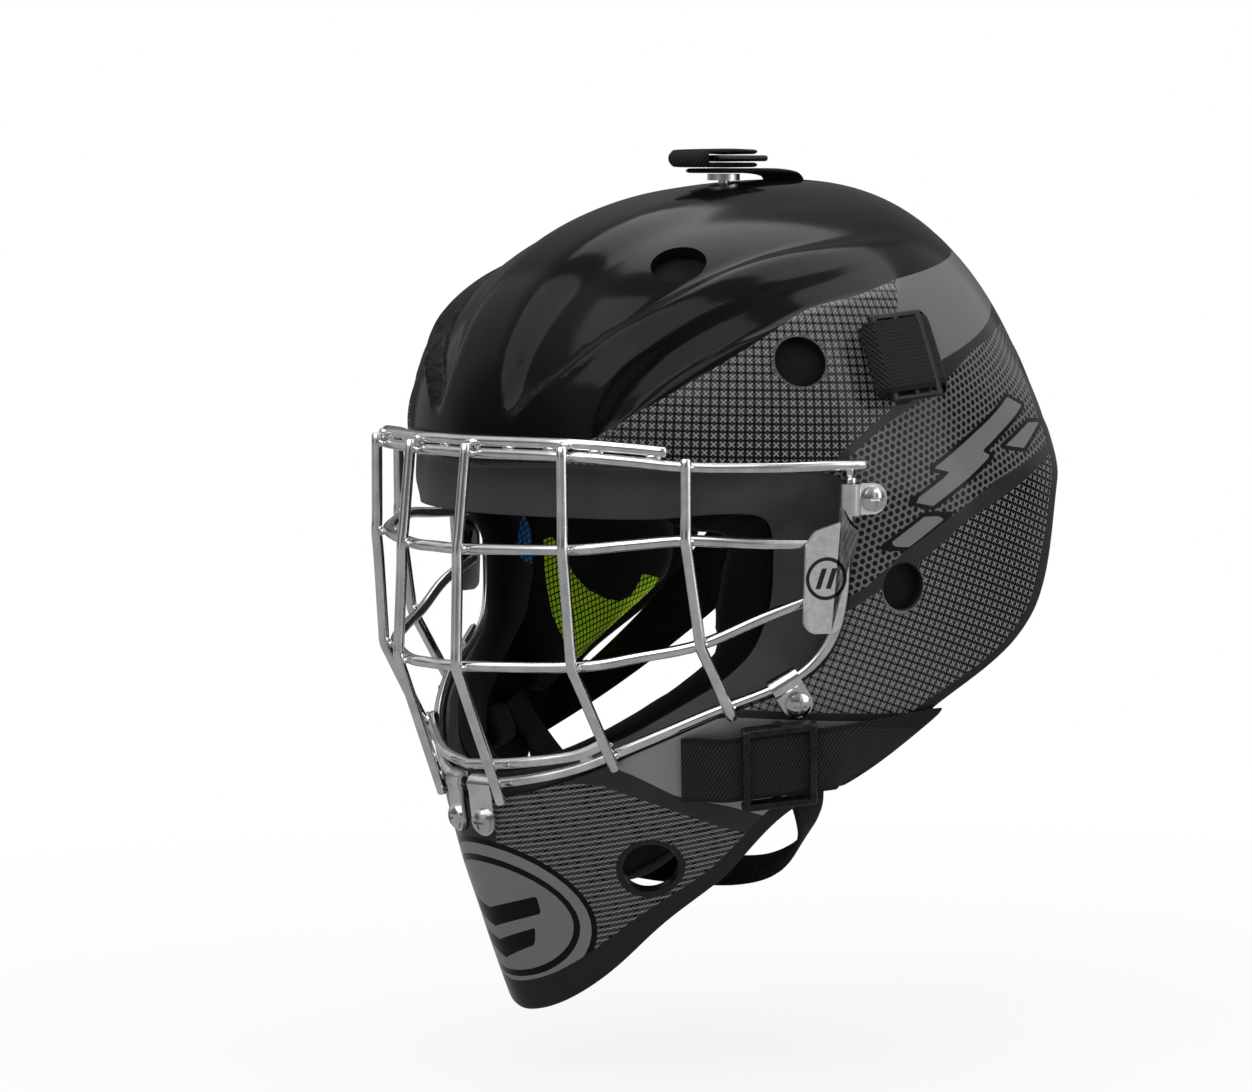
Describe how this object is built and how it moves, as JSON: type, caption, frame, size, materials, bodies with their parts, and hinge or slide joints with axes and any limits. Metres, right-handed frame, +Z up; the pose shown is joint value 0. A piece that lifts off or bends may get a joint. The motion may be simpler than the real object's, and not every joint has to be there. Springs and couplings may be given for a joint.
{
  "type": "ice hockey goalie mask",
  "caption": "Moulded goalie mask with a wire cage over the face opening, foam liner, adjustable straps, a rear panel and a chin sling.",
  "frame": {"origin": "middle of the wearer's head at brow height, on the ear axis", "axes": "+Z up, -Y to the front (the face opening and cage), +X to the wearer's left"},
  "size_m": [0.2446, 0.2413, 0.3117],
  "materials": {
    "painted_shell": "gloss clear coat over black and grey paint",
    "cage_wire": "polished",
    "side_plate": "brushed",
    "clip_metal": "polished",
    "inner_hardware": "satin",
    "stud_metal": "satin",
    "adjuster_plastic": "satin",
    "backplate_plastic": "matt",
    "chin_cup_foam": "matt",
    "liner_foam": "matt",
    "chin_webbing": "woven",
    "elastic_webbing": "woven, ribbed"
  },
  "bodies": {
    "helmet": {"shell": "painted_shell", "cage_uprights": "cage_wire", "cage_top_bar": "cage_wire", "cage_brow_bar": "cage_wire", "cage_cross_bars": "cage_wire", "cage_rim_wire": "cage_wire", "cage_chin_bar": "cage_wire", "side_plate_left": "side_plate", "side_plate_right": "side_plate", "temple_clips": "clip_metal", "jaw_clips": "clip_metal", "chin_clips": "clip_metal", "clip_screws": "clip_metal", "clip_nuts": "inner_hardware", "forehead_pad": "liner_foam", "crown_pad": "liner_foam", "temple_pad_left": "liner_foam", "temple_pad_right": "liner_foam", "cheek_pad_left": "liner_foam", "cheek_pad_right": "liner_foam", "jaw_pad_left": "liner_foam", "jaw_pad_right": "liner_foam", "chin_pad": "liner_foam", "lower_strap_left": "elastic_webbing", "lower_strap_right": "elastic_webbing", "upper_strap_left": "elastic_webbing", "upper_strap_right": "elastic_webbing", "top_strap": "elastic_webbing", "top_stud": "stud_metal", "top_nut": "inner_hardware", "chin_snaps": "inner_hardware"},
    "back_panel": {"backplate": "backplate_plastic", "backplate_pad": "liner_foam"},
    "chin_sling": {"chin_strap": "chin_webbing", "chin_cup": "chin_cup_foam"},
    "top_adjuster": {"top_glide": "adjuster_plastic", "top_strap_end": "elastic_webbing"},
    "upper_adjuster_left": {"upper_glide_left": "adjuster_plastic", "upper_strap_end_left": "elastic_webbing"},
    "upper_adjuster_right": {"upper_glide_right": "adjuster_plastic", "upper_strap_end_right": "elastic_webbing"},
    "lower_adjuster_left": {"lower_glide_left": "adjuster_plastic"},
    "lower_adjuster_right": {"lower_glide_right": "adjuster_plastic"}
  },
  "joints": [
    {"name": "backplate_swing", "type": "hinge", "parent": "helmet", "child": "back_panel", "pos_m": [0, 0.0698, 0.046], "axis": [1, 0, 0], "range_deg": [0, 30], "stiffness_Nm_per_rad": 0.5, "springref_deg": -2.86},
    {"name": "chin_strap_swing", "type": "hinge", "parent": "helmet", "child": "chin_sling", "pos_m": [0, -0.0561, -0.0947], "axis": [1, 0, 0], "range_deg": [0, 35]},
    {"name": "top_adjuster_slide", "type": "slide", "parent": "helmet", "child": "top_adjuster", "axis": [0, 1, 0], "range_m": [-0.005, 0.005]},
    {"name": "upper_left_adjuster_slide", "type": "slide", "parent": "helmet", "child": "upper_adjuster_left", "axis": [-0.0001, 0.9967, 0.0816], "range_m": [-0.005, 0.005]},
    {"name": "upper_right_adjuster_slide", "type": "slide", "parent": "helmet", "child": "upper_adjuster_right", "axis": [0.0001, 0.9967, 0.0816], "range_m": [-0.005, 0.005]},
    {"name": "lower_left_adjuster_slide", "type": "slide", "parent": "helmet", "child": "lower_adjuster_left", "axis": [0.4469, 0.8893, 0.0968], "range_m": [-0.005, 0]},
    {"name": "lower_right_adjuster_slide", "type": "slide", "parent": "helmet", "child": "lower_adjuster_right", "axis": [-0.4469, 0.8893, 0.0968], "range_m": [-0.005, 0]}
  ]
}
